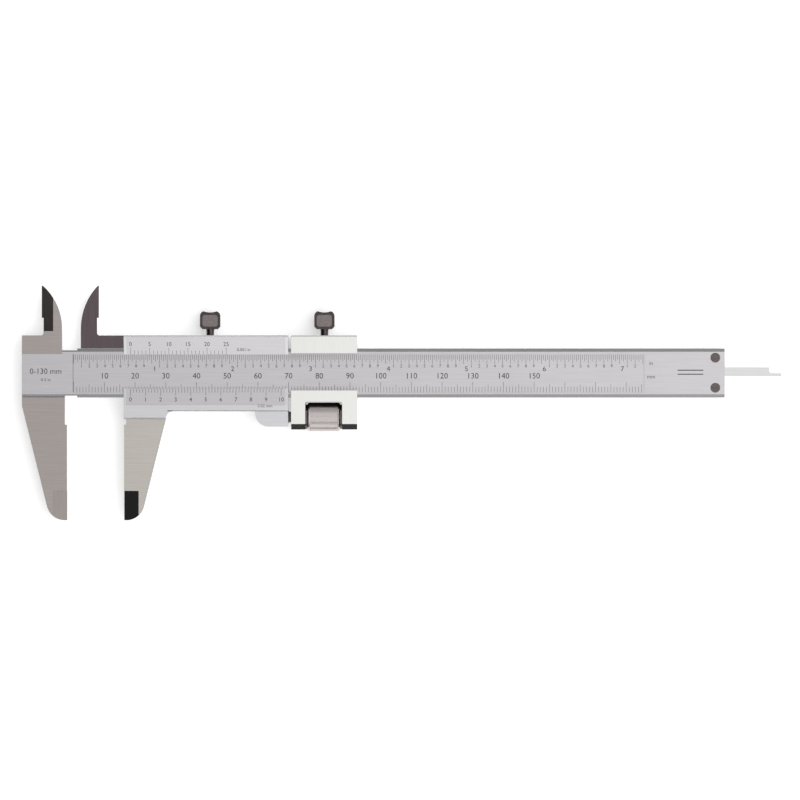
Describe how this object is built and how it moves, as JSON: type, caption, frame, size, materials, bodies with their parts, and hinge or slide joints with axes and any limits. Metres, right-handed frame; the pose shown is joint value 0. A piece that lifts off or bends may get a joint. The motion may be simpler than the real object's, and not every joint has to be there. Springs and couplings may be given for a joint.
{
  "type": "vernier caliper",
  "caption": "Vernier caliper with outside and inside jaws, a depth bar, metric and inch verniers and a fine-adjustment carriage with a knurled nut.",
  "frame": {"origin": "middle of the footprint's bounding box, on the surface that the caliper lies on with its back down: the back faces of the slider and the carriage", "axes": "+X along the beam from the jaws to the depth bar's end, +Y across the beam towards the inside jaws, +Z out of the face that carries the scales"},
  "size_m": [0.2476, 0.0764, 0.0093],
  "materials": {
    "beam_steel": "satin ground stainless steel, polished edges",
    "slider_steel": "satin ground stainless steel, polished jaws",
    "carriage_steel": "polished stainless steel",
    "depth_bar_steel": "fine ground stainless steel",
    "nut_steel": "knurled, satin",
    "clamp_steel": "blackened steel, worn at the edges",
    "screw_steel": "blackened steel",
    "stop_steel": "satin ground steel",
    "gib_bronze": "rolled phosphor bronze strip",
    "scale_fill": "dark fill of the engraved lines and numerals"
  },
  "bodies": {
    "beam": {"main_beam": "beam_steel", "end_stop_plate": "stop_steel", "end_stop_screw_upper": "screw_steel", "end_stop_screw_lower": "screw_steel"},
    "slider": {"slider_frame": "slider_steel", "slider_gib": "gib_bronze", "gib_screw_left": "screw_steel", "gib_screw_right": "screw_steel", "depth_bar": "depth_bar_steel", "depth_bar_screw_left": "screw_steel", "depth_bar_screw_right": "screw_steel", "feed_screw": "screw_steel", "feed_screw_pin": "stop_steel"},
    "slider_clamp": {"slider_clamp_screw": "clamp_steel"},
    "carriage": {"feed_carriage": "carriage_steel", "carriage_gib": "gib_bronze", "nut_washer_left": "screw_steel", "nut_washer_right": "screw_steel"},
    "carriage_clamp": {"carriage_clamp_screw": "clamp_steel"},
    "nut": {"feed_nut": "nut_steel"}
  },
  "joints": [
    {"name": "slider_slide", "type": "slide", "parent": "beam", "child": "slider", "axis": [1, 0, 0], "range_m": [-0.0186, 0.1114]},
    {"name": "slider_clamp_turn", "type": "hinge", "parent": "slider", "child": "slider_clamp", "pos_m": [-0.0625, 0.02375, 0.00375], "axis": [0, 1, 0], "range_deg": [-90, 270]},
    {"name": "carriage_feed", "type": "slide", "parent": "slider", "child": "carriage", "axis": [1, 0, 0], "range_m": [-0.0006, 0.003]},
    {"name": "carriage_clamp_turn", "type": "hinge", "parent": "carriage", "child": "carriage_clamp", "pos_m": [-0.02525, 0.02375, 0.00375], "axis": [0, 1, 0], "range_deg": [-90, 270]},
    {"name": "nut_spin", "type": "hinge", "parent": "carriage", "child": "nut", "pos_m": [-0.0254, -0.00455, 0.0047], "axis": [1, 0, 0], "range_deg": [-434, 2168]}
  ],
  "couplings": [
    {"joint": "nut_spin", "follows": "carriage_feed", "rad_per_m": 12566}
  ]
}
